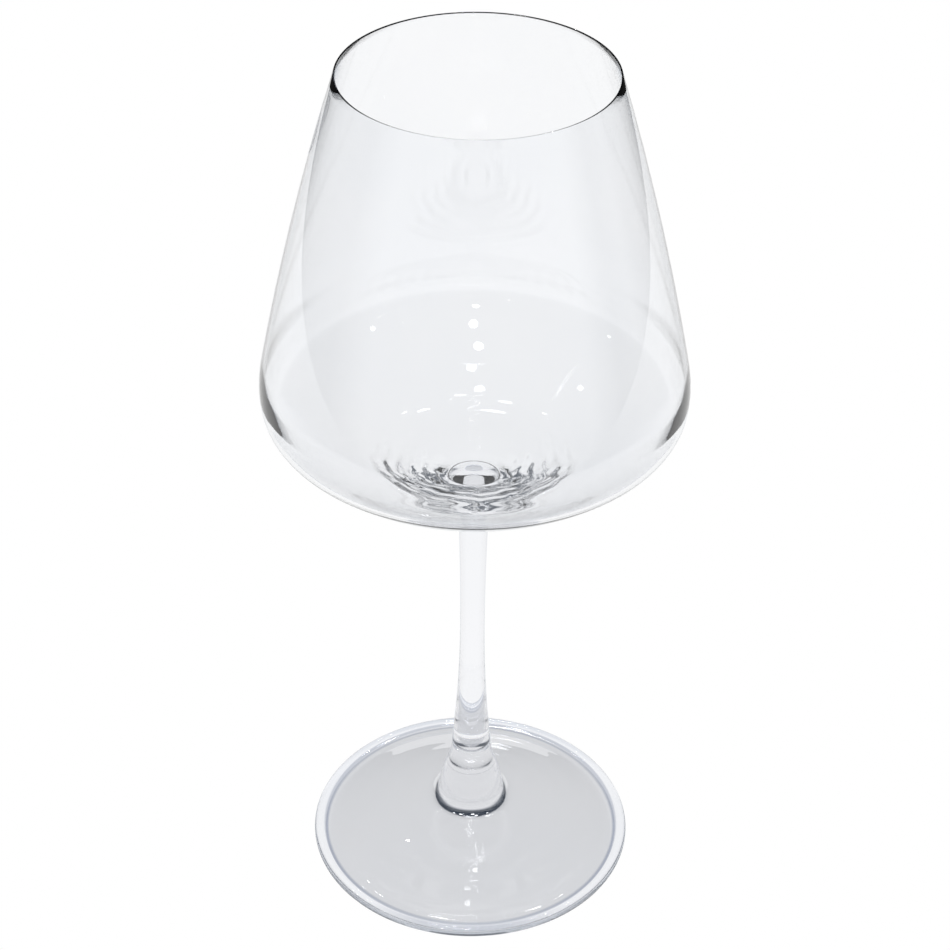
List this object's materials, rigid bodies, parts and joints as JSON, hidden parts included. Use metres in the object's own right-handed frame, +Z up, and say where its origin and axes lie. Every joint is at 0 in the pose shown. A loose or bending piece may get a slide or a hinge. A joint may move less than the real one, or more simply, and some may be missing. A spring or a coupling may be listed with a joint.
{
  "type": "wine glass",
  "caption": "Stemmed wine glass with a tapering round-shouldered bowl, a slim drawn stem and a round foot, in clear glass.",
  "frame": {"origin": "centre of the ring that the foot stands on, at table level", "axes": "+Z up along the glass's axis of revolution, towards the lip; the label is near -X"},
  "size_m": [0.1026, 0.1026, 0.225],
  "materials": {
    "bowl_glass": "clear crystal glass, fire-polished",
    "stem_glass": "clear crystal glass, drawn",
    "foot_glass": "clear crystal glass, pressed and fire-polished",
    "label_film": "thin clear adhesive film, blank"
  },
  "bodies": {
    "root": {"bowl": "bowl_glass", "stem": "stem_glass", "foot": "foot_glass", "label": "label_film"}
  },
  "joints": []
}
